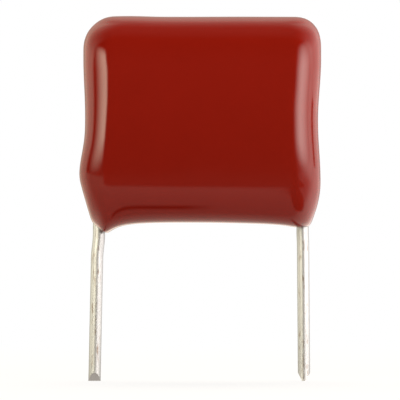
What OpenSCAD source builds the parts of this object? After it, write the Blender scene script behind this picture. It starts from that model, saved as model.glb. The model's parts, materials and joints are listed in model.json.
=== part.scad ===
// Dipped polyester film capacitor with two wire leads.
// A flat-pressed roll of metallised film lies on its side, its axis along X. Each end of it has a
// sprayed metal contact with a tinned wire welded to it, and a dipped epoxy coating covers all but
// the wires. Millimetres, +Z up, front towards -Y. The origin is on the underside of the coating,
// midway between the leads.

/* [Film roll] */
// Height of the pressed roll
winding_h = 8.8; // [7:0.1:12]
// Thickness of the pressed roll
winding_t = 4.6; // [3:0.1:6]

/* [End contacts] */
// Thickness of the sprayed metal
spray_t = 0.3; // [0.2:0.05:0.6]
// How deep the wire lies in the sprayed metal
weld_depth = 0.15; // [0.05:0.05:0.25]

/* [Leads] */
// Distance between the wires where they leave the coating
lead_pitch = 10; // [7.5:0.5:15]
// Diameter of the wire
lead_d = 0.6; // [0.5:0.05:0.7]
// How far the tips reach below the underside
lead_reach = 7.8; // [4:0.1:15]
// How far the wire runs up the end contact, from the underside
lead_rise = 6; // [3:0.25:8]
// Straight wire below the underside, above the first bend
lead_stub = 0.5; // [0.35:0.05:1.5]
// Radius of the bends, on the axis of the wire
bend_r = 5; // [2.5:0.25:10]
// Straight wire between the two bends
bend_gap = 0.2; // [0.15:0.05:1]
// How much thinner the wire is where it is bent
bend_thin = 0.02; // [0.01:0.01:0.06]
// Outward kick of the left wire under the coating, in degrees
left_kick = 7; // [3:0.5:12]
// Outward lean of the left wire below its bends, in degrees
left_lean = 1.2; // [0.6:0.1:2.5]
// Outward kick of the right wire under the coating, in degrees
right_kick = 3; // [2:0.5:12]
// Outward lean of the right wire below its bends, in degrees
right_lean = 0.4; // [0.1:0.1:0.9]
// Height of the two bevels that the cutters leave at a tip
tip_h = 0.4; // [0.15:0.05:0.75]
// Width of the blunt edge between those bevels
tip_edge = 0.2; // [0.05:0.05:0.3]

/* [Coating walls] */
// Resin in front of the roll and behind it
wall_face = 0.6; // [0.4:0.05:1]
// Resin over the top of the roll
wall_top = 0.6; // [0.4:0.05:1]
// Resin under the roll
wall_bottom = 0.7; // [0.5:0.05:1.25]
// Resin over the wires at the waist
wall_end = 0.415; // [0.3:0.005:0.8]
// Resin left outside the wires at the underside
wall_foot = 0.04; // [0.04:0.01:0.15]

/* [Coating form] */
// Radius of the upright edges
edge_r = 1.4; // [0.8:0.1:1.7]
// Extra height of the crown over the round top of the roll
crown_extra = 0.3; // [0.1:0.05:0.5]
// Width of the flat strip along the underside
under_w = 2.15; // [1.5:0.05:3]
// Height of the round below the front and back faces
under_round = 1.8; // [1:0.1:2.5]
// Height of the round at the upper corners
corner_h = 1.6; // [1:0.1:2]
// Width of the round at the upper left corner
left_corner_w = 1.4; // [0.8:0.1:1.5]
// Width of the round at the upper right corner
right_corner_w = 1.2; // [0.8:0.1:1.5]
// Distance of the upper swellings from the top
high_drop = 2.1; // [1.5:0.1:3]
// Upper swelling of the left end beyond the waist
left_high = 0.05; // [0:0.01:0.3]
// Upper swelling of the right end beyond the waist
right_high = 0.15; // [0:0.01:0.3]
// Height of the lower swelling of the left end
left_low_z = 2.3; // [1.8:0.1:3]
// Lower swelling of the left end beyond the waist
left_low = 0.26; // [0:0.01:0.4]
// Height of the lower swelling of the right end
right_low_z = 2.1; // [1.8:0.1:3]
// Lower swelling of the right end beyond the waist
right_low = 0.14; // [0:0.01:0.4]
// Fullness of the left end below its swelling, 1 for a straight taper
left_full = 1.15; // [1:0.05:2.5]
// Fullness of the right end below its swelling, 1 for a straight taper
right_full = 2; // [1:0.05:2.5]

/* [Resin at the leads] */
// How far the underside droops from the middle to the wires
droop = 0.18; // [0.05:0.01:0.3]
// Drip on the left wire, below the drooped underside
left_drip = 0.31; // [0.05:0.01:0.4]
// Drip on the right wire, below the drooped underside
right_drip = 0.08; // [0.03:0.01:0.4]
// How far the left drip sits inwards of its wire
left_drip_in = 0.35; // [0:0.05:0.5]
// How far the right drip sits inwards of its wire
right_drip_in = 0.1; // [0:0.05:0.5]
// Radius over which a drip runs out
drip_r = 1; // [0.5:0.05:1.5]

/* [Hidden] */
$fn = 64;

coating_red = "#86190c";
film_grey = "#b4b7bb";
spray_grey = "#8c8e92";
tinned_wire = "#d2cdc3";

// Inside: the roll and its contacts, from the wires inwards
spray_x = lead_pitch / 2 - lead_d / 2 + weld_depth;
winding_x = spray_x - spray_t;
winding_mid_z = wall_bottom + winding_h / 2;

// Outside: the coating, from what it covers outwards
body_h = wall_bottom + winding_h + wall_top;
half_t = winding_t / 2 + wall_face;
waist_x = lead_pitch / 2 + lead_d / 2 + wall_end;
foot_x = lead_pitch / 2 + lead_d / 2 + wall_foot;
crown_h = winding_t / 2 + crown_extra;
crown_z = body_h - crown_h;
corner_z = body_h - corner_h;
high_z = body_h - high_drop;
under_in = half_t - under_w / 2;
// Flat left between the two upright edges of an end where the body is thinnest
end_flat = 0.15;

// One end's form: height and depth of the low swelling, high swelling, corner width, fullness
left_end = [left_low_z, left_low, left_high, left_corner_w, left_full];
right_end = [right_low_z, right_low, right_high, right_corner_w, right_full];

// How far a bend reaches into the straight wire at each end of it
bend_seat = 0.05;

// Drips: place along X, depth
drips = [
    [left_drip_in - lead_pitch / 2, left_drip],
    [lead_pitch / 2 - right_drip_in, right_drip],
];

// Fineness of the coating's surface: steps in each round, up the faces, round an upright edge,
// along a face and from front to back
round_steps = 12;
waist_steps = 9;
arc_steps = 8;
face_steps = 12;
across_steps = 6;
// Turn of the crown at which a narrow flat strip closes it, in degrees
crown_end = 86;

// Straight and eased steps between two values
function lerp(a, b, t) = a + (b - a) * t;
function ease(t) = (1 - cos(180 * min(1, max(0, t)))) / 2;

// Reach of one end of the coating from the middle, at height z
function end_x(z, end) =
    let (
        low_z = end[0],
        low_x = waist_x + end[1],
        waist_z = (low_z + high_z) / 2,
        low = end[1] * ease((waist_z - z) / (waist_z - low_z)),
        high = end[2] * ease((z - waist_z) / (high_z - waist_z)),
        over = max(0, z - corner_z) / corner_h,
        corner = end[3] * (1 - sqrt(1 - over * over))
    )
    z < low_z
        ? low_x - (low_x - foot_x) * pow((low_z - z) / low_z, end[4])
        : waist_x + low + high - corner;

// Half the coating's depth at height z: a round underside, flat faces and a crown
function half_depth(z) =
    z < under_round ? half_t - under_in * (1 - sqrt(1 - pow(1 - z / under_round, 2)))
    : z > crown_z ? half_t * sqrt(1 - pow((z - crown_z) / crown_h, 2))
    : half_t;

// How far the resin hangs below height z at a point of the level, less and less up the body
function hang(p, z) =
    let (
        fade = pow(max(0, 1 - z / under_round), 2),
        bow = droop * pow(p.x / (lead_pitch / 2), 2),
        drop = [for (d = drips) d[1] * pow(max(0, 1 - norm([p.x - d[0], p.y]) / drip_r), 2)]
    )
    fade * (bow + drop[0] + drop[1]);

function hung(p, z) = [p.x, p.y, z - hang(p, z)];

// Front half of the coating's section at height z, from the left end to the right
function front_path(z) =
    let (
        l = end_x(z, left_end),
        r = end_x(z, right_end),
        b = half_depth(z),
        c = min(edge_r, b - end_flat / 2),
        left_turn = [for (i = [0:arc_steps]) 180 + 90 * i / arc_steps],
        right_turn = [for (i = [0:arc_steps]) 270 + 90 * i / arc_steps]
    )
    concat(
        [for (a = left_turn) [c - l + c * cos(a), c - b + c * sin(a)]],
        [for (i = [1:face_steps - 1]) [lerp(c - l, r - c, i / face_steps), -b]],
        [for (a = right_turn) [r - c + c * cos(a), c - b + c * sin(a)]]
    );

// Point j of the line that runs straight back from a point of the front path
function across(p, j) = [p.x, lerp(p.y, -p.y, j / across_steps)];

// The closed section at height z, anticlockwise from above
function section(z) =
    let (front = front_path(z), last = len(front) - 1)
    [for (p = concat(
        front,
        [for (j = [1:across_steps - 1]) across(front[last], j)],
        [for (i = [last:-1:0]) across(front[i], across_steps)],
        [for (j = [across_steps - 1:-1:1]) across(front[0], j)]
    )) hung(p, z)];

// The points that fill the section at height z
function infill(z) =
    let (front = front_path(z))
    [for (i = [1:len(front) - 2]) for (j = [1:across_steps - 1]) hung(across(front[i], j), z)];

function two_triangles(a, b, c, d) = [[a, b, c], [a, c, d]];

function flat_list(lists) = [for (l = lists) for (x = l) x];

// The dipped skin: sections stacked from the underside to the crown, closed by a grid at each end
module coating_skin() {
    levels = concat(
        [for (i = [0:round_steps]) under_round * (1 - cos(90 * i / round_steps))],
        [for (i = [1:waist_steps]) lerp(under_round, crown_z, i / waist_steps)],
        [for (i = [1:round_steps]) crown_z + crown_h * sin(crown_end * i / round_steps)]
    );
    bottom = levels[0];
    top = levels[len(levels) - 1];
    sections = [for (z = levels) section(z)];
    ring = len(sections[0]);
    last = len(front_path(bottom)) - 1;
    top_start = ring * (len(levels) - 1);
    bottom_fill = ring * len(levels);
    top_fill = bottom_fill + (last - 1) * (across_steps - 1);

    // Index of point j on line i of an end's grid
    function grid(i, j, rim, fill) =
        j == 0 ? rim + i
        : j == across_steps ? rim + 2 * last + across_steps - i
        : i == last ? rim + last + j
        : i == 0 ? rim + 2 * last + 2 * across_steps - j
        : fill + (i - 1) * (across_steps - 1) + j - 1;

    bands = flat_list([for (k = [0:len(levels) - 2]) for (i = [0:ring - 1])
        let (a = k * ring + i, b = k * ring + (i + 1) % ring)
        two_triangles(a, a + ring, b + ring, b)]);
    underside = flat_list([for (i = [0:last - 1]) for (j = [0:across_steps - 1])
        two_triangles(
            grid(i, j, 0, bottom_fill), grid(i + 1, j, 0, bottom_fill),
            grid(i + 1, j + 1, 0, bottom_fill), grid(i, j + 1, 0, bottom_fill)
        )]);
    crown = flat_list([for (i = [0:last - 1]) for (j = [0:across_steps - 1])
        two_triangles(
            grid(i, j, top_start, top_fill), grid(i, j + 1, top_start, top_fill),
            grid(i + 1, j + 1, top_start, top_fill), grid(i + 1, j, top_start, top_fill)
        )]);

    polyhedron(
        points = concat(flat_list(sections), infill(bottom), infill(top)),
        faces = concat(bands, underside, crown)
    );
}

// Outline of the pressed roll, flat sides and round edges, drawn out along X from the middle
module roll_prism(from_x, to_x) {
    translate([from_x, 0, winding_mid_z]) rotate([90, 0, 90]) linear_extrude(to_x - from_x) {
        square([winding_t, winding_h - winding_t], center = true);
        for (s = [-1, 1]) translate([0, s * (winding_h - winding_t) / 2]) circle(d = winding_t);
    }
}

// Bend in a wire that comes down along Z and turns towards +X, drawn a little thinner than the wire
module wire_bend(angle) {
    seat = bend_seat / bend_r * 180 / PI;
    translate([bend_r, 0, 0]) rotate([90, 0, 0]) rotate(180 - seat)
        rotate_extrude(angle = angle + 2 * seat) translate([bend_r, 0]) circle(d = lead_d - bend_thin);
}

// Places its children where such a bend ends
module past_bend(angle) {
    translate([bend_r * (1 - cos(angle)), 0, -bend_r * sin(angle)]) rotate([0, -angle, 0]) children();
}

// Straight wire hanging from the origin, its tip pinched off by side cutters
module cut_wire(length, turn) {
    slope = tip_h / (lead_d / 2 - tip_edge / 2);
    shoulder = slope * (lead_d - tip_edge / 2);
    translate([0, 0, -length]) rotate(turn) intersection() {
        cylinder(d = lead_d, h = length);
        rotate([90, 0, 0]) linear_extrude(2 * lead_d, center = true) polygon([
            [-tip_edge / 2, 0], [tip_edge / 2, 0],
            [lead_d, shoulder], [lead_d, length + lead_d],
            [-lead_d, length + lead_d], [-lead_d, shoulder],
        ]);
    }
}

// One wire on the +X side: up along the contact, kicked outwards under the coating, then leaning
module wire(kick, lean, tip_turn) {
    bends_h = bend_r * (2 * sin(kick) - sin(lean)) + bend_gap * cos(kick);
    straight = (lead_reach - lead_stub - bends_h) / cos(lean);
    translate([lead_pitch / 2, 0, -lead_stub]) {
        cylinder(d = lead_d, h = lead_stub + lead_rise);
        wire_bend(kick);
        past_bend(kick) translate([0, 0, -bend_gap]) {
            cylinder(d = lead_d, h = bend_gap);
            mirror([1, 0, 0]) {
                wire_bend(kick - lean);
                past_bend(kick - lean) cut_wire(straight, tip_turn);
            }
        }
    }
}

module left_wire() mirror([1, 0, 0]) wire(left_kick, left_lean, 90);

module right_wire() wire(right_kick, right_lean, 0);

// Sprayed contact on the +X end, with the groove that the welded wire lies in
module spray() {
    difference() {
        roll_prism(winding_x, spray_x);
        right_wire();
    }
}

module film_winding() color(film_grey) roll_prism(-winding_x, winding_x);

module left_end_spray() color(spray_grey) mirror([1, 0, 0]) spray();

module right_end_spray() color(spray_grey) spray();

module left_lead() color(tinned_wire) left_wire();

module right_lead() color(tinned_wire) right_wire();

module epoxy_coating() color(coating_red) difference() {
    coating_skin();
    roll_prism(-spray_x, spray_x);
    left_wire();
    right_wire();
}

epoxy_coating();
film_winding();
left_end_spray();
right_end_spray();
left_lead();
right_lead();
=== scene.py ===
"""Dipped polyester film capacitor: its modelled skin and wires, their finishes, and a small studio."""

import json
import logging
import math
from dataclasses import dataclass
from enum import Enum

import bmesh
import bpy
from mathutils import Euler, Matrix, Vector, noise


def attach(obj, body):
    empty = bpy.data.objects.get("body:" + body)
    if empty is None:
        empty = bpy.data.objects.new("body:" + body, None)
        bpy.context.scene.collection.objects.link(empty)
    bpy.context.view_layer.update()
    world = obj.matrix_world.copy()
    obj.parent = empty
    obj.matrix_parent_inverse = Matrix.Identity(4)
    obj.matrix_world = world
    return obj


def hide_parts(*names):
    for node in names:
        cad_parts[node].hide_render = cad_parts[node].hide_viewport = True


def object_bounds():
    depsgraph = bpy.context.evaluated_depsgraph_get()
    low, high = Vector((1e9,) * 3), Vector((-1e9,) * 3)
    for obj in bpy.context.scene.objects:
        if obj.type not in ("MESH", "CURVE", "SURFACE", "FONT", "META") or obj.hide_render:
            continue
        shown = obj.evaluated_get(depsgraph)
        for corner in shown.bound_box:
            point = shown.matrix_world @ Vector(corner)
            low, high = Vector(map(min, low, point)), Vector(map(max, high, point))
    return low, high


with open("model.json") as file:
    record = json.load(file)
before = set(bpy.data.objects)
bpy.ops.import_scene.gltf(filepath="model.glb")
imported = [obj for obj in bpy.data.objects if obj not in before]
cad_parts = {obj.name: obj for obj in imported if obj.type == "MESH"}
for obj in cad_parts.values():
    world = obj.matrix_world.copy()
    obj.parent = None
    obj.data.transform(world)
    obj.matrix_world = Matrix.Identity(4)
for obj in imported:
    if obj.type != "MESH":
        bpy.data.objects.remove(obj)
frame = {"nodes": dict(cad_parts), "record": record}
CAD_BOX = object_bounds()

Tree = bpy.types.NodeTree
Socket = bpy.types.NodeSocket
Ring = list[bmesh.types.BMEdge]

MM = 0.001
BODY = "root"
LEAD_PITCH = 10.0
LEAD_REACH = 7.8
BODY_HEIGHT = 10.08
QUARTER_TURN = math.pi / 2

# An area lamp's watts for each unit of its radiance and area.
WATTS_PER_RADIANCE = math.pi

# How fast the wave texture's phase runs, in radians for each unit of its scaled coordinate.
WAVE_RATE = 20.0

# The curve of sRGB.
BYTE_TOP = 255
SRGB_KNEE = 0.04045
SRGB_SLOPE = 12.92
SRGB_OFFSET = 0.055
SRGB_POWER = 2.4

# The mix node's sockets by number, because those for numbers and for colours share their names.
MIX_SHARE = 0
NUMBER_A = 2
NUMBER_B = 3
NUMBER_OUT = 0
COLOUR_A = 6
COLOUR_B = 7
COLOUR_OUT = 2

# Settings that several nodes share.
NUMBERS = {"data_type": "FLOAT"}
COLOURS = {"data_type": "RGBA"}
SOFT = {"interpolation_type": "SMOOTHSTEP"}
TIMES = {"operation": "MULTIPLY"}
TIMES_PLUS = {"operation": "MULTIPLY_ADD"}
PLUS = {"operation": "ADD"}
LESS = {"operation": "SUBTRACT"}
LENGTH = {"operation": "LENGTH"}

log = logging.getLogger("capacitor")


class Side(Enum):
    """Which end of the capacitor a piece belongs to; the value is the sign of its x."""

    LEFT = -1
    RIGHT = 1


class CutTurn(Enum):
    """How the side cutters were held: the direction of the blunt edge that they left."""

    ALONG_PITCH = "x"
    ACROSS_PITCH = "y"


def linear(code: str) -> tuple[float, float, float, float]:
    """Turns an sRGB hex colour into the linear colour that shaders take.

    Args:
        code: Six hex digits after a hash sign.

    Returns:
        Red, green, blue and an alpha of 1.
    """
    parts = [byte / BYTE_TOP for byte in bytes.fromhex(code.removeprefix("#"))]
    red, green, blue = (
        part / SRGB_SLOPE if part <= SRGB_KNEE else ((part + SRGB_OFFSET) / (1 + SRGB_OFFSET)) ** SRGB_POWER
        for part in parts
    )
    return red, green, blue, 1.0


def ease(t: float) -> float:
    """Runs from 0 to 1 along half a cosine wave while t runs from 0 to 1."""
    return (1 - math.cos(math.pi * min(max(t, 0.0), 1.0))) / 2


def add_node(
    tree: Tree,
    kind: str,
    settings: dict[str, object] | None = None,
    inputs: dict[str | int, object] | None = None,
) -> bpy.types.Node:
    """Adds one shader node with its settings, constants and links.

    Args:
        tree: The node tree that gets the node.
        kind: Blender's name for the node's type.
        settings: Properties of the node and their values.
        inputs: Sockets by name or number, each with a constant or the output to link.

    Returns:
        The new node.
    """
    node = tree.nodes.new(kind)
    for name, value in (settings or {}).items():
        setattr(node, name, value)
    for key, value in (inputs or {}).items():
        if isinstance(value, Socket):
            tree.links.new(value, node.inputs[key])
        else:
            node.inputs[key].default_value = value
    return node


def blank_material(name: str) -> tuple[bpy.types.Material, Tree]:
    """Makes a material with an empty node tree.

    Args:
        name: What the material is called.

    Returns:
        The material and its tree.
    """
    material = bpy.data.materials.new(name)
    material.use_nodes = True
    material.node_tree.nodes.clear()
    return material, material.node_tree


def add_object(name: str, bm: bmesh.types.BMesh, materials: list[bpy.types.Material]) -> bpy.types.Object:
    """Turns a mesh in millimetres into an object of the scene.

    Args:
        name: The object's name.
        bm: Its mesh, which is freed.
        materials: Its materials, in the order of the faces' material numbers.

    Returns:
        The object.
    """
    bmesh.ops.scale(bm, vec=(MM, MM, MM), verts=bm.verts[:])
    mesh = bpy.data.meshes.new(name)
    bm.to_mesh(mesh)
    bm.free()
    for material in materials:
        mesh.materials.append(material)
    made = bpy.data.objects.new(name, mesh)
    bpy.context.scene.collection.objects.link(made)
    return made


def finish_piece(
    name: str, bm: bmesh.types.BMesh, materials: list[bpy.types.Material], node: str
) -> bpy.types.Object:
    """Turns a mesh in millimetres into a piece that stands for a CAD node.

    Args:
        name: The piece's name.
        bm: Its mesh, which is freed.
        materials: Its materials, of which the node gets the first.
        node: The CAD node that it replaces.

    Returns:
        The piece, riding on the part's one body.
    """
    dress_node(node, materials[0])
    piece = add_object(name, bm, materials)
    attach(piece, BODY)
    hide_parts(node)
    return piece


def dress_node(name: str, material: bpy.types.Material) -> None:
    """Puts one material on a CAD node in place of what it came with.

    Args:
        name: The node's name.
        material: Its new material.
    """
    mesh = frame["nodes"][name].data
    mesh.materials.clear()
    mesh.materials.append(material)


def hang_lamp(lamp: bpy.types.Light, place: Vector, away: Vector) -> bpy.types.Object:
    """Hangs a lamp that the camera doesn't see.

    Args:
        lamp: The lamp's data.
        place: Where it hangs, in metres.
        away: The direction from what it lights to the lamp.

    Returns:
        The lamp's object.
    """
    hung = bpy.data.objects.new(lamp.name, lamp)
    hung.location = place
    hung.rotation_mode = "QUATERNION"
    hung.rotation_quaternion = (-away).to_track_quat("-Z", "Y")
    hung.visible_camera = False
    bpy.context.scene.collection.objects.link(hung)
    return hung


@dataclass(frozen=True)
class DippedEpoxy:
    """Pigmented epoxy, dipped twice and cured.

    To the eye: a glossy red-brown skin with a slow waviness and a faint orange peel that soften the lights
    in it. Its colour is painted lighter towards the top, as light from above would fall, and a painted dark
    line low down, with its reflection dimmed there, is painted shade.
    """

    low_tone_and_shade: str = "#661006"
    high_tone_and_light: str = "#78140a"
    ior: float = 1.55
    low_roughness: float = 0.07
    high_roughness: float = 0.12
    low_shade_z_mm: float = 1.0
    top_light_z_mm: float = 10.0
    cloud_mm: float = 3.0
    cloud_share: float = 0.3
    cloud_detail: float = 3.0
    wave_mm: float = 1.75
    wave_depth_mm: float = 0.006
    wave_detail: float = 1.0
    peel_mm: float = 0.35
    peel_depth_mm: float = 0.0006
    peel_detail: float = 2.0
    shade_line_colour: str = "#5e0e06"
    specular: float = 0.5
    shade_line_specular: float = 0.05
    shade_line_z_mm: float = 0.72
    shade_line_half_mm: float = 0.18
    shade_line_power: float = 3.0
    shade_line_drop_mm: tuple[float, float] = (-2.9, -4.4)
    shade_line_right_mm: tuple[float, float] = (0.8, -0.8)
    shade_line_left_mm: tuple[float, float] = (-4.42, -4.3)

    def painted_shade_line(self, tree: Tree, place: Socket) -> Socket:
        """Draws a line of painted shade along the lower edge and down to the left wire.

        Args:
            tree: The material's tree.
            place: Where a point of the skin lies.

        Returns:
            How far into the painted line the point is, from 0 to 1.
        """
        axes = add_node(tree, "ShaderNodeSeparateXYZ", inputs={"Vector": place}).outputs
        sunk, right, left = (
            add_node(
                tree,
                "ShaderNodeMapRange",
                inputs={"Value": axes["X"], "From Min": ends[0] * MM, "From Max": ends[1] * MM},
            ).outputs["Result"]
            for ends in (self.shade_line_drop_mm, self.shade_line_right_mm, self.shade_line_left_mm)
        )
        curve = {0: sunk, 1: self.shade_line_power}
        sunk = add_node(tree, "ShaderNodeMath", {"operation": "POWER"}, curve).outputs[0]
        left_over = add_node(tree, "ShaderNodeMath", LESS, {0: 1.0, 1: sunk}).outputs[0]
        level = add_node(tree, "ShaderNodeMath", {"operation": "SQRT"}, {0: left_over}).outputs[0]
        line = add_node(tree, "ShaderNodeMath", TIMES, {0: level, 1: self.shade_line_z_mm * MM}).outputs[0]
        off = add_node(tree, "ShaderNodeMath", LESS, {0: line, 1: axes["Z"]}).outputs[0]
        off = add_node(tree, "ShaderNodeMath", {"operation": "ABSOLUTE"}, {0: off}).outputs[0]
        sides = {"Value": off, "From Min": self.shade_line_half_mm * MM, "From Max": 0.0}
        on_line = add_node(tree, "ShaderNodeMapRange", SOFT, sides).outputs["Result"]
        shown = add_node(tree, "ShaderNodeMath", TIMES, {0: left, 1: right}).outputs[0]
        return add_node(tree, "ShaderNodeMath", TIMES, {0: on_line, 1: shown}).outputs[0]

    def material(self) -> bpy.types.Material:
        """Builds the node tree.

        Returns:
            The material.
        """
        material, tree = blank_material("dipped_epoxy")
        place = add_node(tree, "ShaderNodeTexCoord").outputs["Object"]
        patterns = (
            (self.cloud_mm, self.cloud_detail),
            (self.wave_mm, self.wave_detail),
            (self.peel_mm, self.peel_detail),
        )
        cloud, wave, peel = (
            add_node(
                tree,
                "ShaderNodeTexNoise",
                inputs={"Vector": place, "Scale": 1 / (size * MM), "Detail": detail},
            ).outputs["Fac"]
            for size, detail in patterns
        )
        # Painted light: the colour gets lighter towards the top, standing for light from above.
        height = add_node(tree, "ShaderNodeSeparateXYZ", inputs={"Vector": place}).outputs["Z"]
        levels = {"Value": height, "From Min": self.low_shade_z_mm * MM, "From Max": self.top_light_z_mm * MM}
        painted_top_light = add_node(tree, "ShaderNodeMapRange", inputs=levels).outputs["Result"]
        # The cloud is the coat's own uneven tone, mixed here with that painted light.
        shares = {MIX_SHARE: self.cloud_share, NUMBER_A: painted_top_light, NUMBER_B: cloud}
        cloud_and_painted_light = add_node(tree, "ShaderNodeMix", NUMBERS, shares).outputs[NUMBER_OUT]
        # Painted shade: a dark line low down on the skin.
        painted_shade = self.painted_shade_line(tree, place)
        colour = linear(self.low_tone_and_shade)
        for share, tone in ((cloud_and_painted_light, self.high_tone_and_light), (painted_shade, self.shade_line_colour)):
            tones = {MIX_SHARE: share, COLOUR_A: colour, COLOUR_B: linear(tone)}
            colour = add_node(tree, "ShaderNodeMix", COLOURS, tones).outputs[COLOUR_OUT]
        # Along that painted line the reflection is dimmed too: a painted dark reflection.
        shine = {"Value": painted_shade, "To Min": self.specular, "To Max": self.shade_line_specular}
        specular = add_node(tree, "ShaderNodeMapRange", inputs=shine).outputs["Result"]
        haze = {"Value": cloud, "To Min": self.low_roughness, "To Max": self.high_roughness}
        gloss = add_node(tree, "ShaderNodeMapRange", inputs=haze).outputs["Result"]
        waves = {"Height": wave, "Distance": self.wave_depth_mm * MM, "Strength": 1.0}
        slow = add_node(tree, "ShaderNodeBump", inputs=waves).outputs["Normal"]
        pits = {"Height": peel, "Distance": self.peel_depth_mm * MM, "Strength": 1.0, "Normal": slow}
        normal = add_node(tree, "ShaderNodeBump", inputs=pits).outputs["Normal"]
        skin = {
            "Base Color": colour,
            "Roughness": gloss,
            "Normal": normal,
            "IOR": self.ior,
            "Specular IOR Level": specular,
        }
        shader = add_node(tree, "ShaderNodeBsdfPrincipled", inputs=skin)
        add_node(tree, "ShaderNodeOutputMaterial", inputs={"Surface": shader.outputs["BSDF"]})
        return material


@dataclass(frozen=True)
class TinnedWire:
    """Copper-clad steel wire with a hot-dipped tin coat.

    To the eye: a pale silver with dull streaks along the drawn wire and a few brownish specks. Where it
    turns away from the view it is painted greyer, a painted shade that dims its reflections at the edges.
    """

    bright: str = "#e2e8e9"
    dull: str = "#cad0d2"
    speck: str = "#a3978b"
    edge_shade: str = "#9aa0a2"
    edge_shade_from: float = 0.25
    edge_shade_to: float = 0.65
    low_roughness: float = 0.42
    high_roughness: float = 0.52
    speck_mm: float = 0.16
    speck_length_mm: float = 0.6
    speck_from: float = 0.58
    speck_to: float = 0.76
    speck_detail: float = 2.0
    streak_mm: float = 0.08
    streak_length_mm: float = 2.5
    streak_depth_mm: float = 0.003
    streak_detail: float = 3.0

    def material(self) -> bpy.types.Material:
        """Builds the node tree.

        Returns:
            The material.
        """
        material, tree = blank_material("tinned_wire")
        place = add_node(tree, "ShaderNodeTexCoord").outputs["Object"]
        patterns = []
        for size, length, detail in (
            (self.streak_mm, self.streak_length_mm, self.streak_detail),
            (self.speck_mm, self.speck_length_mm, self.speck_detail),
        ):
            scale = (1 / (size * MM), 1 / (size * MM), 1 / (length * MM))
            drawn = add_node(tree, "ShaderNodeMapping", inputs={"Vector": place, "Scale": scale})
            drawn_out = {"Vector": drawn.outputs["Vector"], "Scale": 1.0, "Detail": detail}
            patterns.append(add_node(tree, "ShaderNodeTexNoise", inputs=drawn_out).outputs["Fac"])
        streak, grain = patterns
        specks = {"Value": grain, "From Min": self.speck_from, "From Max": self.speck_to}
        stain = add_node(tree, "ShaderNodeMapRange", inputs=specks).outputs["Result"]
        # Painted shade: greyer where the wire turns away from the view, dimming its reflections there; film
        # is that painted share.
        turned = add_node(tree, "ShaderNodeLayerWeight").outputs["Facing"]
        edges = {"Value": turned, "From Min": self.edge_shade_from, "From Max": self.edge_shade_to}
        film = add_node(tree, "ShaderNodeMapRange", inputs=edges).outputs["Result"]
        colour = linear(self.dull)
        for share, tone in ((streak, self.bright), (stain, self.speck), (film, self.edge_shade)):
            tones = {MIX_SHARE: share, COLOUR_A: colour, COLOUR_B: linear(tone)}
            colour = add_node(tree, "ShaderNodeMix", COLOURS, tones).outputs[COLOUR_OUT]
        haze = {"Value": streak, "To Min": self.high_roughness, "To Max": self.low_roughness}
        gloss = add_node(tree, "ShaderNodeMapRange", inputs=haze).outputs["Result"]
        lines = {"Height": streak, "Distance": self.streak_depth_mm * MM, "Strength": 1.0}
        normal = add_node(tree, "ShaderNodeBump", inputs=lines).outputs["Normal"]
        tin = {"Base Color": colour, "Metallic": 1.0, "Roughness": gloss, "Normal": normal}
        shader = add_node(tree, "ShaderNodeBsdfPrincipled", inputs=tin)
        add_node(tree, "ShaderNodeOutputMaterial", inputs={"Surface": shader.outputs["BSDF"]})
        return material


@dataclass(frozen=True)
class ShearedEnd:
    """The bare metal that side cutters leave.

    To the eye: dull grey, finely torn.
    """

    bright: str = "#dfe2e8"
    dull: str = "#c0c3c8"
    roughness: float = 0.55
    tear_mm: float = 0.045
    tear_depth_mm: float = 0.006
    tear_detail: float = 2.0

    def material(self) -> bpy.types.Material:
        """Builds the node tree.

        Returns:
            The material.
        """
        material, tree = blank_material("sheared_wire_end")
        place = add_node(tree, "ShaderNodeTexCoord").outputs["Object"]
        torn = {"Vector": place, "Scale": 1 / (self.tear_mm * MM), "Detail": self.tear_detail}
        tears = add_node(tree, "ShaderNodeTexNoise", inputs=torn).outputs["Fac"]
        tones = {MIX_SHARE: tears, COLOUR_A: linear(self.dull), COLOUR_B: linear(self.bright)}
        colour = add_node(tree, "ShaderNodeMix", COLOURS, tones).outputs[COLOUR_OUT]
        ridges = {"Height": tears, "Distance": self.tear_depth_mm * MM, "Strength": 1.0}
        normal = add_node(tree, "ShaderNodeBump", inputs=ridges).outputs["Normal"]
        metal = {"Base Color": colour, "Metallic": 1.0, "Roughness": self.roughness, "Normal": normal}
        shader = add_node(tree, "ShaderNodeBsdfPrincipled", inputs=metal)
        add_node(tree, "ShaderNodeOutputMaterial", inputs={"Surface": shader.outputs["BSDF"]})
        return material


@dataclass(frozen=True)
class PressedFilm:
    """Metallised polyester film, wound and pressed flat.

    To the eye: silvery plastic with the edges of its turns as fine lines round the roll.
    """

    metal: str = "#b9bcc1"
    gap: str = "#8f9297"
    ior: float = 1.64
    roughness: float = 0.3
    turn_mm: float = 0.125
    unevenness: float = 0.6

    def material(self) -> bpy.types.Material:
        """Builds the node tree; the turns are drawn much thicker than the real film so that they show.

        Returns:
            The material.
        """
        material, tree = blank_material("metallised_film")
        winding = {
            "Vector": add_node(tree, "ShaderNodeTexCoord").outputs["Object"],
            "Scale": math.tau / WAVE_RATE / (self.turn_mm * MM),
            "Distortion": self.unevenness,
        }
        turns = add_node(tree, "ShaderNodeTexWave", {"bands_direction": "Y"}, winding).outputs["Fac"]
        tones = {MIX_SHARE: turns, COLOUR_A: linear(self.gap), COLOUR_B: linear(self.metal)}
        colour = add_node(tree, "ShaderNodeMix", COLOURS, tones).outputs[COLOUR_OUT]
        film = {"Base Color": colour, "Roughness": self.roughness, "IOR": self.ior}
        shader = add_node(tree, "ShaderNodeBsdfPrincipled", inputs=film)
        add_node(tree, "ShaderNodeOutputMaterial", inputs={"Surface": shader.outputs["BSDF"]})
        return material


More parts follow.
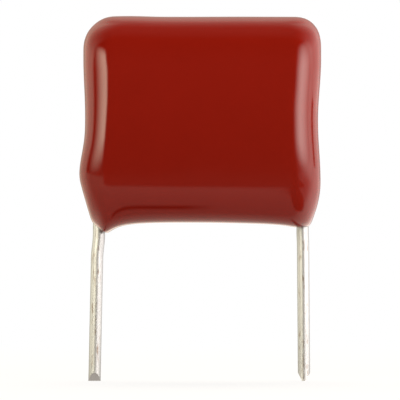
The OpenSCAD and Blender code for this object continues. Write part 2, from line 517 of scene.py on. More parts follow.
@dataclass(frozen=True)
class SprayedZinc:
    """Zinc sprayed as molten drops on the ends of the roll.

    To the eye: a dark, matt, grainy grey.
    """

    bright: str = "#9a9ca0"
    dull: str = "#77797d"
    roughness: float = 0.7
    drop_mm: float = 0.075
    drop_depth_mm: float = 0.02

    def material(self) -> bpy.types.Material:
        """Builds the node tree.

        Returns:
            The material.
        """
        material, tree = blank_material("sprayed_zinc")
        place = add_node(tree, "ShaderNodeTexCoord").outputs["Object"]
        sprayed = {"Vector": place, "Scale": 1 / (self.drop_mm * MM)}
        drops = add_node(tree, "ShaderNodeTexVoronoi", inputs=sprayed).outputs["Distance"]
        tones = {MIX_SHARE: drops, COLOUR_A: linear(self.bright), COLOUR_B: linear(self.dull)}
        colour = add_node(tree, "ShaderNodeMix", COLOURS, tones).outputs[COLOUR_OUT]
        bumps = {"Height": drops, "Distance": self.drop_depth_mm * MM, "Strength": 1.0}
        normal = add_node(tree, "ShaderNodeBump", inputs=bumps).outputs["Normal"]
        metal = {"Base Color": colour, "Metallic": 1.0, "Roughness": self.roughness, "Normal": normal}
        shader = add_node(tree, "ShaderNodeBsdfPrincipled", inputs=metal)
        add_node(tree, "ShaderNodeOutputMaterial", inputs={"Surface": shader.outputs["BSDF"]})
        return material


@dataclass(frozen=True)
class EndOutline:
    """One end of the coating as the front view shows it, in millimetres from the part's middle.

    A high and a low bulge stand out past the waist between them. Below the low one the end draws in to
    its foot, more gently at first where the sweep is larger. The lag sets how late on the way down the
    low bulge grows. The top corner is an ellipse at a corner_power of 2, and fuller above that.
    """

    waist_x: float
    foot_x: float
    high_z: float
    corner_z: float
    corner_h: float
    corner_w: float
    corner_power: float
    high: float
    low_z: float
    low: float
    lag: float
    sweep: float

    def reach(self, z: float) -> float:
        """Gives how far the end stands from the part's middle.

        Args:
            z: Height above the underside.

        Returns:
            The distance along x.
        """
        over = min(max(0.0, z - self.corner_z) / self.corner_h, 1.0)
        return (
            self.waist_x
            - (self.waist_x - self.foot_x) * self.taper(z)
            + self.bulge(z)
            + self.high * ease((z - self.waist_z) / (self.high_z - self.waist_z))
            - self.corner_w * (1 - (1 - over**self.corner_power) ** (1 / self.corner_power))
        )

    @property
    def waist_z(self) -> float:
        """The height of the waist."""
        return (self.low_z + self.high_z) / 2

    def taper(self, z: float) -> float:
        """Gives how far the end has drawn in at a height, from 0 at the low bulge to 1 at the foot."""
        share = max(self.low_z - max(z, 0.0), 0.0) / self.low_z
        return (math.hypot(share, self.sweep) - self.sweep) / (math.hypot(1, self.sweep) - self.sweep)

    def bulge(self, z: float) -> float:
        """Gives how far the low bulge stands out at a height."""
        grown = ease((self.waist_z - z) / (self.waist_z - self.low_z)) ** self.lag
        return self.low * grown * (1 - self.taper(z))


@dataclass(frozen=True)
class Meniscus:
    """The coating that clung to a wire while it cured, in millimetres.

    It reaches down the wire by the climb on its inner side, and by the outer share of that on its outer
    side. Past the grip it fades out, and the flank is how much a distance across the pitch counts there.
    """

    side: Side
    wire_x: float
    grip: float
    climb: float
    outer_share: float
    fade: float
    flank: float
    soft: float = 0.2
    lopsided: float = 1.6

    def depth(self, x: float, y: float) -> float:
        """Gives how far the clinging coating reaches below the underside.

        Args:
            x: Place along the pitch.
            y: Place across it.

        Returns:
            The depth, greatest at the wire's inner side.
        """
        along = x - self.side.value * self.wire_x
        away = max(math.hypot(along, y * self.flank), self.grip)
        inward = (1 - self.side.value * along / self.grip) / 2
        share = self.outer_share + (1 - self.outer_share) * ease(inward) ** self.lopsided
        past = math.hypot(away, self.soft) - math.hypot(self.grip, self.soft)
        return self.climb * share * math.exp(-past / self.fade)


@dataclass
class DippedCoating:
    """The dipped skin over the roll: a pillow with waisted ends, a vaulted top and drooping corners.

    Sizes are in millimetres, with z up from the underside. The surface is searched for outwards from a
    core box, no further than the reach. A wall is what the coating adds past a wire, a droop is how far
    a lower corner hangs, and a climb is how far resin went down a wire. A tight end has a smaller radius
    on its upright edges, most of all low down. The crest is a slight swelling on the top edge.
    """

    height: float
    half_t: float
    lead_x: float
    lead_r: float
    finish: DippedEpoxy = DippedEpoxy()
    left_wall_end: float = 0.36
    right_wall_end: float = 0.435
    left_wall_foot: float = 0.01
    right_wall_foot: float = 0.05
    edge_r: float = 1.4
    end_flat: float = 0.15
    left_tight: float = 0.36
    right_tight: float = 0.1
    tight_z: float = 8.0
    crown_h: float = 2.6
    under_w: float = 2.15
    under_round: float = 2.0
    pillow_h: float = 4.8
    pillow: float = 0.38
    corner_h: float = 1.6
    high_drop: float = 2.1
    left_droop: float = 0.07
    right_droop: float = 0.15
    left_climb: float = 0.48
    right_climb: float = 0.11
    climb_fade: float = 0.5
    climb_flank: float = 0.3
    grip: float = 0.12
    sag: float = 0.035
    left_outer: float = 0.15
    right_outer: float = 0.9
    crest: float = 0.035
    crest_x: float = -3.6
    crest_w: float = 1.8
    ripple: float = 0.015
    ripple_mm: float = 3.5
    core_x: float = 4.3
    core_y: float = 1.1
    reach_x: float = 6.5
    reach_y: float = 3.5
    reach_z: float = 1.1
    cuts: int = 47
    halvings: int = 22
    rim_z: float = 0.6
    rim_passes: int = 6
    rim_soften: float = 0.5
    smooth_levels: int = 1

    def __post_init__(self) -> None:
        """Works out the two ends, the resin round the wires and what else follows from the sizes."""
        shared = {
            "high_z": self.height - self.high_drop,
            "corner_z": self.height - self.corner_h,
            "corner_h": self.corner_h,
        }
        lead_edge = self.lead_x + self.lead_r
        self.ends = {
            Side.LEFT: EndOutline(
                **shared,
                waist_x=lead_edge + self.left_wall_end,
                foot_x=lead_edge + self.left_wall_foot,
                corner_w=1.45,
                corner_power=2.0,
                high=0.08,
                low_z=2.3,
                low=0.28,
                lag=1.7,
                sweep=0.13,
            ),
            Side.RIGHT: EndOutline(
                **shared,
                waist_x=lead_edge + self.right_wall_end,
                foot_x=lead_edge + self.right_wall_foot,
                corner_w=1.35,
                corner_power=2.5,
                high=0.15,
                low_z=1.9,
                low=0.125,
                lag=1.0,
                sweep=2.0,
            ),
        }
        climbs = {
            Side.LEFT: (self.left_climb, self.left_outer),
            Side.RIGHT: (self.right_climb, self.right_outer),
        }
        self.clinging = [
            Meniscus(
                side,
                wire_x=self.lead_x,
                grip=self.lead_r + self.grip,
                climb=climb,
                outer_share=outer,
                fade=self.climb_fade,
                flank=self.climb_flank,
            )
            for side, (climb, outer) in climbs.items()
        ]
        self.crown_z = self.height - self.crown_h
        self.under_in = self.half_t - self.pillow - self.under_w / 2

    def half_depth(self, z: float) -> float:
        """Gives half the coating's depth at a height.

        Args:
            z: Height above the underside.

        Returns:
            Half the depth along y.
        """
        slim = self.pillow * max(0.0, 1 - max(z, 0.0) / self.pillow_h) ** 2
        rise = max(0.0, 1 - max(z, 0.0) / self.under_round)
        over = min(max(0.0, z - self.crown_z) / self.crown_h, 1.0)
        under = self.under_in * (1 - math.sqrt(1 - rise * rise))
        return self.half_t * math.sqrt(1 - over * over) - slim - under

    def holds(self, point: Vector) -> bool:
        """Says whether a point lies inside the coating's outer surface, its droop left out.

        Args:
            point: The point, in millimetres.

        Returns:
            True inside.
        """
        if not 0 <= point.z <= self.height:
            return False
        side = Side.LEFT if point.x < 0 else Side.RIGHT
        depth = self.half_depth(point.z)
        reach = self.ends[side].reach(point.z)
        tight = self.left_tight if side is Side.LEFT else self.right_tight
        tight *= ease(1 - point.z / self.tight_z)
        round_r = min(self.edge_r * (1 - tight), depth - self.end_flat / 2)
        if abs(point.y) > depth or round_r <= 0:
            return abs(point.y) <= depth and abs(point.x) <= reach
        past = max(abs(point.y) - (depth - round_r), 0.0) / round_r
        rounded = round_r * (1 - math.sqrt(1 - past * past))
        return abs(point.x) <= reach - rounded - self.ends[side].bulge(point.z) * past * past

    def wrap(self, corner: Vector) -> Vector:
        """Carries a point of a cube of half side 1 onto the coating's outer surface.

        Args:
            corner: The point on the cube.

        Returns:
            Where it lies on the coating.
        """
        low, high = self.under_round, self.crown_z
        middle = (low + high) / 2
        reach_z = self.height / 2 + self.reach_z
        outer = Vector((corner.x * self.reach_x, corner.y * self.reach_y, middle + corner.z * reach_z))
        inner = Vector((
            min(max(outer.x, -self.core_x), self.core_x),
            min(max(outer.y, -self.core_y), self.core_y),
            min(max(outer.z, low), high),
        ))
        step = 1.0
        share = 0.0
        for _ in range(self.halvings):
            step /= 2
            if self.holds(inner.lerp(outer, share + step)):
                share += step
        return inner.lerp(outer, share)

    def hang(self, point: Vector) -> float:
        """Gives how far the wet coating sank at a point of its underside.

        Args:
            point: The point, in millimetres.

        Returns:
            The drop along z.
        """
        share = max(0.0, 1 - point.z / self.under_round) ** 2
        droop = self.left_droop if point.x < 0 else self.right_droop
        sag = self.sag + droop * (point.x / self.lead_x) ** 2
        return share * (sag + sum(ring.depth(point.x, point.y) for ring in self.clinging))

    def swell(self, point: Vector) -> float:
        """Gives how far the coating stands up at a point where it ran together along the top edge."""
        across = 1 - abs(point.x - self.crest_x) / self.crest_w
        return self.crest * ease(across) * ease((point.z - self.crown_z) / self.crown_h)

    def build(self) -> bpy.types.Object:
        """Models the skin: a cube cut into a fine grid and carried onto the coating.

        Returns:
            The finished piece.
        """
        bm = bmesh.new()
        bmesh.ops.create_cube(bm, size=2.0)
        bmesh.ops.subdivide_edges(bm, edges=bm.edges[:], cuts=self.cuts, use_grid_fill=True)
        for vert in bm.verts:
            vert.co = self.wrap(vert.co)
        rim = [v for v in bm.verts if v.co.z < self.rim_z]
        for _ in range(self.rim_passes):
            bmesh.ops.smooth_vert(
                bm, verts=rim, factor=self.rim_soften, use_axis_x=True, use_axis_y=True, use_axis_z=True
            )
        for vert in bm.verts:
            vert.co.z += self.swell(vert.co) - self.hang(vert.co)
        bm.normal_update()
        for vert in bm.verts:
            vert.co += vert.normal * (self.ripple * noise.noise(vert.co / self.ripple_mm))
        bmesh.ops.recalc_face_normals(bm, faces=bm.faces[:])
        for face in bm.faces:
            face.smooth = True
        piece = finish_piece("dipped_coating", bm, [self.finish.material()], "epoxy_coating")
        smooth = piece.modifiers.new("smooth", "SUBSURF")
        smooth.levels = self.smooth_levels
        smooth.render_levels = self.smooth_levels
        return piece


@dataclass
class WireLead:
    """One tinned wire, from its weld inside the coating to its cut end. Sizes are in millimetres."""

    side: Side
    turn: CutTurn
    lead_x: float
    radius: float
    tip_z: float
    kick: float
    lean: float
    finish: TinnedWire = TinnedWire()
    cut: ShearedEnd = ShearedEnd()
    rise: float = 6.0
    stub: float = 0.5
    bend_r: float = 5.0
    bend_gap: float = 0.2
    tip_h: float = 0.4
    tip_edge: float = 0.2
    sides: int = 40
    bend_steps: int = 8
    straight_step: float = 0.5
    weld: float = 1e-4
    cut_number: int = 1

    def heading(self, angle: float) -> Vector:
        """Gives the wire's direction where it leans outwards by an angle in degrees."""
        lean = math.radians(angle)
        return Vector((self.side.value * math.sin(lean), 0, -math.cos(lean)))

    @staticmethod
    def middle(ring: Ring) -> Vector:
        """Gives the middle of an open end."""
        verts = dict.fromkeys(v for e in ring for v in e.verts)
        return sum((v.co for v in verts), Vector()) / len(verts)

    def run(self, bm: bmesh.types.BMesh, ring: Ring, angle: float, length: float) -> Ring:
        """Carries the wire's open end straight on, in short steps.

        Args:
            bm: The wire's mesh.
            ring: The edges of its open end.
            angle: How far the wire leans outwards, in degrees from straight down.
            length: How far it goes.

        Returns:
            The edges of the new open end.
        """
        steps = max(1, round(length / self.straight_step))
        down = self.heading(angle) * (length / steps)
        for _ in range(steps):
            made = bmesh.ops.extrude_edge_only(bm, edges=ring)["geom"]
            bmesh.ops.translate(bm, vec=down, verts=[v for v in made if isinstance(v, bmesh.types.BMVert)])
            ring = [e for e in made if isinstance(e, bmesh.types.BMEdge)]
        return ring

    def bend(self, bm: bmesh.types.BMesh, ring: Ring, angle: float, turn: float) -> Ring:
        """Bends the wire's open end about a centre beside it.

        Args:
            bm: The wire's mesh.
            ring: The edges of its open end.
            angle: How far the wire leans before the bend, in degrees.
            turn: How far the bend turns it outwards, or inwards if negative, in degrees.

        Returns:
            The edges of the new open end.
        """
        lean = math.radians(angle)
        out = Vector((self.side.value * math.cos(lean), 0, math.sin(lean)))
        made = bmesh.ops.spin(
            bm,
            geom=ring,
            cent=self.middle(ring) + out * math.copysign(self.bend_r, turn),
            axis=(0, 1, 0),
            angle=-self.side.value * math.radians(turn),
            steps=self.bend_steps,
            use_merge=False,
        )["geom_last"]
        return [e for e in made if isinstance(e, bmesh.types.BMEdge)]

    def shear(self, bm: bmesh.types.BMesh, end: Vector) -> None:
        """Cuts the wire's closed end with two planes that meet near its middle.

        Args:
            bm: The wire's mesh.
            end: The middle of the wire's end.
        """
        across = Vector((0, 1, 0)) if self.turn is CutTurn.ALONG_PITCH else Vector((1, 0, 0))
        run_in = self.radius - self.tip_edge / 2
        for sign in (-1, 1):
            outwards = (across * sign * self.tip_h - Vector((0, 0, run_in))).normalized()
            self.slice(bm, end + across * sign * self.tip_edge / 2, outwards)

    def slice(self, bm: bmesh.types.BMesh, place: Vector, outwards: Vector) -> None:
        """Cuts off what lies past a plane and closes the wire there with a crisp face.

        Args:
            bm: The wire's mesh.
            place: A point on the plane.
            outwards: The plane's normal, towards what is cut off.
        """
        geom = bm.verts[:] + bm.edges[:] + bm.faces[:]
        bmesh.ops.bisect_plane(bm, geom=geom, plane_co=place, plane_no=outwards, clear_outer=True)
        self.close(bm)

    def close(self, bm: bmesh.types.BMesh) -> None:
        """Fills every open rim with a cut face whose edges stay crisp.

        Args:
            bm: The wire's mesh.
        """
        rims = [e for e in bm.edges if e.is_boundary]
        for face in bmesh.ops.holes_fill(bm, edges=rims, sides=0)["faces"]:
            face.material_index = self.cut_number
            for edge in face.edges:
                edge.smooth = False

    def build(self) -> bpy.types.Object:
        """Models the wire: a ring that is drawn out, bent twice and cut.

        Returns:
            The finished piece.
        """
        bm = bmesh.new()
        start = Matrix.Translation((self.side.value * self.lead_x, 0, self.rise))
        bmesh.ops.create_circle(bm, segments=self.sides, radius=self.radius, matrix=start)
        ring = self.run(bm, bm.edges[:], 0, self.rise + self.stub)
        ring = self.bend(bm, ring, 0, self.kick)
        ring = self.run(bm, ring, self.kick, self.bend_gap)
        ring = self.bend(bm, ring, self.kick, self.lean - self.kick)
        middle = self.middle(ring)
        lean = math.radians(self.lean)
        length = (middle.z - self.tip_z) / math.cos(lean)
        end = middle + self.heading(self.lean) * length
        self.run(bm, ring, self.lean, length + self.radius * math.tan(lean))
        for face in bm.faces:
            face.smooth = True
        self.close(bm)
        self.slice(bm, end, Vector((0, 0, -1)))
        self.shear(bm, end)
        bmesh.ops.remove_doubles(bm, verts=bm.verts[:], dist=self.weld)
        bmesh.ops.recalc_face_normals(bm, faces=bm.faces[:])
        name = self.side.name.lower()
        finishes = [self.finish.material(), self.cut.material()]
        return finish_piece(f"{name}_wire", bm, finishes, f"{name}_lead")


@dataclass
class WoundCore:
    """The pressed roll and its sprayed ends: sealed CAD nodes that only need their finishes."""

    film: PressedFilm = PressedFilm()
    zinc: SprayedZinc = SprayedZinc()

    def dress(self) -> list[str]:
        """Gives each hidden node its material.

        Returns:
            The names of the nodes.
        """
        zinc = self.zinc.material()
        finishes = {
            "film_winding": self.film.material(),
            "left_end_spray": zinc,
            "right_end_spray": zinc,
        }
        for name, material in finishes.items():
            dress_node(name, material)
        return list(finishes)


@dataclass(frozen=True)
class SoftBox:
    """A flat softbox beside the object, given by the sector it fills as the object sees it.

    Angles are in degrees from the camera's side round to this side, lengths in millimetres. Its glow
    slants outwards towards the top. A fade is the share of the box over which an edge of it dims.
    """

    side: Side
    inner: float
    outer: float
    distance: float
    low: float
    high: float
    radiance: float
    inner_fade: float
    outer_fade: float
    high_fade: float
    low_fade: float
    slant: float
    colour: str

    def place(self) -> bpy.types.Object:
        """Adds the lamp.

        Returns:
            The lamp's object.
        """
        middle = math.radians((self.inner + self.outer) / 2)
        half = math.radians((self.outer - self.inner) / 2)
        height = self.high - self.low
        lit = 2 * self.distance * math.tan(half)
        slide = height * math.tan(math.radians(self.slant))
        lamp = bpy.data.lights.new(f"{self.side.name.lower()}_softbox", "AREA")
        lamp.shape = "RECTANGLE"
        lamp.size = (lit + slide) * MM
        lamp.size_y = height * MM
        lamp.color = linear(self.colour)[:3]
        lamp.energy = self.radiance * lamp.size * lamp.size_y * WATTS_PER_RADIANCE
        self.soften(lamp, slide / lit)
        away = Vector((self.side.value * math.sin(middle), -math.cos(middle), 0))
        up = Vector((0, 0, (self.low + self.high) / 2))
        return hang_lamp(lamp, (away * self.distance + up) * MM, away)

    def soften(self, lamp: bpy.types.Light, slide: float) -> None:
        """Lets the box glow most near its inner edge and fade towards its other edges.

        Args:
            lamp: The box's lamp.
            slide: How far the glow moves outwards from bottom to top, as a share of its own width.
        """
        lamp.use_nodes = True
        tree = lamp.node_tree
        tree.nodes.clear()
        place = add_node(tree, "ShaderNodeNewGeometry").outputs["Parametric"]
        axes = add_node(tree, "ShaderNodeSeparateXYZ", inputs={"Vector": place}).outputs
        mirrored = self.side is Side.RIGHT
        lift = {0: axes["Y"], 1: slide, 2: 1.0 if mirrored else -slide}
        start = add_node(tree, "ShaderNodeMath", TIMES_PLUS, lift).outputs[0]
        width = {0: axes["X"], 1: -1 - slide if mirrored else 1 + slide, 2: start}
        across = add_node(tree, "ShaderNodeMath", TIMES_PLUS, width).outputs[0]
        edges = [
            (across, 1.0, 1 - self.inner_fade),
            (across, 0.0, self.outer_fade),
            (axes["Y"], 0.0, self.low_fade),
            (axes["Y"], 1.0, 1 - self.high_fade),
        ]
        glow = 1.0
        for axis, dark, bright in edges:
            rise = {"Value": axis, "From Min": dark, "From Max": bright}
            fade = add_node(tree, "ShaderNodeMapRange", SOFT, rise).outputs["Result"]
            glow = add_node(tree, "ShaderNodeMath", TIMES, {0: glow, 1: fade}).outputs[0]
        emission = add_node(tree, "ShaderNodeEmission", inputs={"Strength": glow}).outputs["Emission"]
        add_node(tree, "ShaderNodeOutputLight", inputs={"Surface": emission})


@dataclass(frozen=True)
class FillLamp:
    """A round soft lamp that lights the object but leaves no reflection in it.

    Angles are in degrees, round from the camera's side and up; lengths are in millimetres.
    """

    name: str
    turn: float
    rise: float
    distance: float
    width: float
    radiance: float
    colour: str = "#fff8e8"

    def place(self) -> bpy.types.Object:
        """Adds the lamp.

        Returns:
            The lamp's object.
        """
        lamp = bpy.data.lights.new(self.name, "AREA")
        lamp.shape = "DISK"
        lamp.size = self.width * MM
        lamp.color = linear(self.colour)[:3]
        lamp.energy = self.radiance * math.pi * (lamp.size / 2) ** 2 * WATTS_PER_RADIANCE
        turn, rise = math.radians(self.turn), math.radians(self.rise)
        level = Vector((math.sin(turn), -math.cos(turn), 0))
        away = level * math.cos(rise) + Vector((0, 0, math.sin(rise)))
        fill = hang_lamp(lamp, away * self.distance * MM, away)
        fill.visible_glossy = False
        return fill


@dataclass(frozen=True)
class StudioCard:
    """A card that faces the camera's side and shows only in the object's gloss, as a painted dark
    reflection. Lengths in millimetres.
    """

    name: str
    x: float
    y: float
    width: float
    low: float
    high: float
    colour: str

    def place(self) -> bpy.types.Object:
        """Stands the card beside the object.

        Returns:
            The card's object.
        """
        middle = Vector((self.x, self.y, (self.low + self.high) / 2))
        half = Vector((self.width / 2, (self.high - self.low) / 2, 1))
        stand = Matrix.LocRotScale(middle, Euler((QUARTER_TURN, 0, 0)), half)
        bm = bmesh.new()
        bmesh.ops.create_grid(bm, x_segments=1, y_segments=1, size=1.0, matrix=stand)
        card = add_object(self.name, bm, [self.material()])
        card.visible_camera = False
        card.visible_diffuse = False
        card.visible_shadow = False
        return card

    def material(self) -> bpy.types.Material:
        """Builds matt card that is clear from behind.

        Returns:
            The material.
        """
        material, tree = blank_material(f"matt_card_{self.name}")
        behind = add_node(tree, "ShaderNodeNewGeometry").outputs["Backfacing"]
        card = add_node(tree, "ShaderNodeBsdfDiffuse", inputs={"Color": linear(self.colour)}).outputs["BSDF"]
        clear = add_node(tree, "ShaderNodeBsdfTransparent").outputs["BSDF"]
        mixed = add_node(tree, "ShaderNodeMixShader", inputs={0: behind, 1: card, 2: clear})
        add_node(tree, "ShaderNodeOutputMaterial", inputs={"Surface": mixed.outputs["Shader"]})
        return material


@dataclass(frozen=True)
class DarkPatch:
    """A patch of painted shade on the floor that shows only in the object's gloss: an oval with a soft rim,
    in millimetres.
    """

    middle: tuple[float, float, float]
    shape: tuple[float, float, float]
    inner_r: float
    outer_r: float
    share: float


@dataclass(frozen=True)
class FloorSide:
    """How bright the floor on one side of the object is in its reflections.

    A turn is the cosine of the angle from the camera's side. Between the near and the far distance from
    the object, in millimetres, its shade on the floor runs out.
    """

    front_level: float
    side_level: float
    front_turn: float
    side_turn: float
    near: float
    far: float


@dataclass
class Studio:
    """Pale floor, two softboxes, soft fills, one card, bright surroundings and the camera.

    Lengths are in millimetres. What reflections show of the floor and the surroundings has levels of its
    own, dim on the camera's side, because the camera sees both as white.
    """

    floor_z: float
    floor_half: float = 1500.0
    floor_front: float = 65.0
    floor_colour: str = "#d3d1cd"
    white: str = "#ffffff"
    left_tint: str = "#fff0d6"
    right_tint: str = "#fff1ea"
    shadow_share: float = 0.16
    shadow_near: float = 12.5
    shadow_far: float = 80.0
    mirror_share: float = 0.97
    foot_half: tuple[float, float, float] = (5.0, 2.0, 0.0)
    shade_front: float = -2.0
    shade_back: float = 3.0
    shade_level: float = 0.31
    back_shade_level: float = 0.85
    left_floor: FloorSide = FloorSide(
        front_level=0.5, side_level=1.85, front_turn=0.5, side_turn=-0.2, near=-4.0, far=30.0
    )
    right_floor: FloorSide = FloorSide(
        front_level=0.45, side_level=2.1, front_turn=0.6, side_turn=-0.1, near=-3.0, far=16.0
    )
    side_blend: float = 0.25
    tint_reach: float = 20.0
    tint_turn: float = 0.5
    patches: tuple[DarkPatch, ...] = (
        DarkPatch(middle=(4.6, -60, 0), shape=(1, 0.55, 0), inner_r=17.0, outer_r=22.6, share=0.1),
        DarkPatch(middle=(22, -45, 0), shape=(1, 0.6, 0), inner_r=14.0, outer_r=17.0, share=0.1),
        DarkPatch(middle=(10, -19, 0), shape=(1, 0.33, 0), inner_r=5.0, outer_r=5.9, share=0.05),
    )
    left_level: float = 1.65
    right_level: float = 1.9
    side_from: float = 0.1
    side_to: float = 0.9
    left_start: float = -0.27
    right_start: float = -0.3
    start_width: float = 0.25
    left_top: tuple[float, float] = (0.27, 0.91)
    right_top: tuple[float, float] = (0.45, 1.0)
    top_share: float = 0.05
    back_from: float = 0.72
    back_to: float = 0.95
    back_share: float = 0.3
    rear_near: float = 25.0
    rear_far: float = 70.0
    front_level: float = 0.03
    ambient: float = 0.06
    # A painted dark reflection beside the right highlight.
    flag: StudioCard = StudioCard(
        "side_flag", x=15.5, y=-1.0, width=11.0, low=2.6, high=5.7, colour="#6f6a66"
    )
    look_x: float = -0.04
    look_z: float = 1.08
    camera_distance: float = 300.0
    frame_width: float = 19.65
    sensor_mm: float = 36.0
    clip_start_m: float = 0.01
    clip_end_m: float = 10.0

    def floor(self) -> bpy.types.Object:
        """Lays the floor at the foot of the wires.

        Returns:
            The floor's object.
        """
        bm = bmesh.new()
        bmesh.ops.create_grid(bm, x_segments=1, y_segments=1, size=self.floor_half)
        middle = (0, self.floor_half - self.floor_front, self.floor_z)
        bmesh.ops.translate(bm, vec=middle, verts=bm.verts[:])
        floor = add_object("floor", bm, [self.floor_material()])
        return floor

    def floor_material(self) -> bpy.types.Material:
        """Builds pale matt paper that the camera sees as white with the object's shadow left in it.

        Returns:
            The material.
        """
        material, tree = blank_material("studio_paper")
        ray = add_node(tree, "ShaderNodeLightPath").outputs
        direct = ray["Is Camera Ray"]
        place = add_node(tree, "ShaderNodeTexCoord").outputs["Object"]
        flat = add_node(tree, "ShaderNodeVectorMath", TIMES, {0: place, 1: (1, 1, 0)}).outputs["Vector"]
        away = add_node(tree, "ShaderNodeVectorMath", LENGTH, {0: flat}).outputs["Value"]
        shadow = {
            "Value": away,
            "From Min": self.shadow_near * MM,
            "From Max": self.shadow_far * MM,
            "To Min": 1 - self.shadow_share,
            "To Max": 1.0,
        }
        seen = add_node(tree, "ShaderNodeMapRange", SOFT, shadow).outputs["Result"]
        rays = {0: ray["Is Glossy Ray"], 1: ray["Is Transmission Ray"]}
        mirrored = add_node(tree, "ShaderNodeMath", PLUS, rays).outputs[0]
        mirrored = add_node(tree, "ShaderNodeMath", TIMES, {0: mirrored, 1: self.mirror_share}).outputs[0]
        share = add_node(tree, "ShaderNodeMath", TIMES_PLUS, {0: direct, 1: seen, 2: mirrored}).outputs[0]
        matt = {"Color": linear(self.floor_colour)}
        paper = add_node(tree, "ShaderNodeBsdfDiffuse", inputs=matt).outputs["BSDF"]
        tint = self.tint(tree, flat, self.tint_reach * MM)
        lit = self.lit(tree, direct, self.floor_level(tree, flat), tint)
        # In reflections the floor glows at painted levels, with a painted shadow of the object and painted
        # shade patches.
        glow = add_node(tree, "ShaderNodeEmission", inputs=lit).outputs["Emission"]
        mixed = add_node(tree, "ShaderNodeMixShader", inputs={0: share, 1: paper, 2: glow})
        add_node(tree, "ShaderNodeOutputMaterial", inputs={"Surface": mixed.outputs["Shader"]})
        material.cycles.emission_sampling = "NONE"
        return material

    def lit(self, tree: Tree, direct: Socket, level: Socket, tint: Socket) -> dict[str, Socket]:
        """Works out a glow that the camera sees as plain white, with its own level and tint elsewhere.

        Args:
            tree: The tree that gets the nodes.
            direct: 1 where the camera looks straight at the glow, else 0.
            level: The level of the glow in reflections.
            tint: Its colour there.

        Returns:
            The colour and the strength of the glow.
        """
        tones = {MIX_SHARE: direct, COLOUR_A: tint, COLOUR_B: linear(self.white)}
        levels = {MIX_SHARE: direct, NUMBER_A: level, NUMBER_B: 1.0}
        return {
            "Color": add_node(tree, "ShaderNodeMix", COLOURS, tones).outputs[COLOUR_OUT],
            "Strength": add_node(tree, "ShaderNodeMix", NUMBERS, levels).outputs[NUMBER_OUT],
        }

    def floor_level(self, tree: Tree, place: Socket) -> Socket:
        """Works out the floor's level in reflections: dim by the object and in front, bright at the sides.

        Args:
            tree: The floor material's tree.
            place: Where a point of the floor lies.

        Returns:
            The level.
        """
        half = Vector(self.foot_half) * MM
        held = place
        for operation, limit in (("MINIMUM", half), ("MAXIMUM", -half)):
            bound = {0: held, 1: limit}
            held = add_node(tree, "ShaderNodeVectorMath", {"operation": operation}, bound).outputs["Vector"]
        out = add_node(tree, "ShaderNodeVectorMath", LESS, {0: place, 1: held}).outputs["Vector"]
        gap = add_node(tree, "ShaderNodeVectorMath", LENGTH, {0: out}).outputs["Value"]
        way = add_node(tree, "ShaderNodeVectorMath", {"operation": "NORMALIZE"}, {0: out}).outputs["Vector"]
        axes = add_node(tree, "ShaderNodeSeparateXYZ", inputs={"Vector": way}).outputs
        depth = add_node(tree, "ShaderNodeSeparateXYZ", inputs={"Vector": place}).outputs["Y"]
        # Painted shadow of the object on the floor, which shows only in reflections.
        under = {
            "Value": depth,
            "From Min": self.shade_front * MM,
            "From Max": self.shade_back * MM,
            "To Min": self.shade_level,
            "To Max": self.back_shade_level,
        }
        shade = add_node(tree, "ShaderNodeMapRange", inputs=under).outputs["Result"]
        levels = []
        for side in (self.left_floor, self.right_floor):
            round_it = {
                "Value": axes["Y"],
                "From Min": -side.front_turn,
                "From Max": -side.side_turn,
                "To Min": side.front_level,
                "To Max": side.side_level,
            }
            outwards = {
                "Value": gap,
                "From Min": side.near * MM,
                "From Max": side.far * MM,
                "To Min": shade,
                "To Max": add_node(tree, "ShaderNodeMapRange", SOFT, round_it).outputs["Result"],
            }
            levels.append(add_node(tree, "ShaderNodeMapRange", SOFT, outwards).outputs["Result"])
        middle = {"Value": axes["X"], "From Min": -self.side_blend, "From Max": self.side_blend}
        right = add_node(tree, "ShaderNodeMapRange", SOFT, middle).outputs["Result"]
        sides = {MIX_SHARE: right, NUMBER_A: levels[0], NUMBER_B: levels[1]}
        level = add_node(tree, "ShaderNodeMix", NUMBERS, sides).outputs[NUMBER_OUT]
        behind = {
            "Value": axes["Y"],
            "From Min": self.back_from,
            "From Max": self.back_to,
            "To Min": 1.0,
            "To Max": self.back_share,
        }
        far_off = {
            "Value": gap,
            "From Min": self.rear_near * MM,
            "From Max": self.rear_far * MM,
            "To Min": 1.0,
            "To Max": add_node(tree, "ShaderNodeMapRange", SOFT, behind).outputs["Result"],
        }
        rear = add_node(tree, "ShaderNodeMapRange", SOFT, far_off).outputs["Result"]
        level = add_node(tree, "ShaderNodeMath", TIMES, {0: level, 1: rear}).outputs[0]
        # Painted shade patches on the floor, which show only in reflections.
        for patch in self.patches:
            moved = {0: place, 1: Vector(patch.middle) * MM}
            off = add_node(tree, "ShaderNodeVectorMath", LESS, moved).outputs["Vector"]
            oval = add_node(tree, "ShaderNodeVectorMath", TIMES, {0: off, 1: patch.shape}).outputs["Vector"]
            rim = {
                "Value": add_node(tree, "ShaderNodeVectorMath", LENGTH, {0: oval}).outputs["Value"],
                "From Min": patch.inner_r * MM,
                "From Max": patch.outer_r * MM,
                "To Min": patch.share,
                "To Max": 1.0,
            }
            clear = add_node(tree, "ShaderNodeMapRange", SOFT, rim).outputs["Result"]
            level = add_node(tree, "ShaderNodeMath", TIMES, {0: level, 1: clear}).outputs[0]
        return level

    def tint(self, tree: Tree, place: Socket, reach: float) -> Socket:
        """Works out the tint of the surroundings, warmer on the left.

        Args:
            tree: The tree that gets the nodes.
            place: A place or a direction.
            reach: How far to each side of the middle the tint changes.

        Returns:
            The colour.
        """
        across = add_node(tree, "ShaderNodeSeparateXYZ", inputs={"Vector": place}).outputs["X"]
        ends = {"Value": across, "From Min": -reach, "From Max": reach}
        share = add_node(tree, "ShaderNodeMapRange", inputs=ends).outputs["Result"]
        tones = {MIX_SHARE: share, COLOUR_A: linear(self.left_tint), COLOUR_B: linear(self.right_tint)}
        return add_node(tree, "ShaderNodeMix", COLOURS, tones).outputs[COLOUR_OUT]

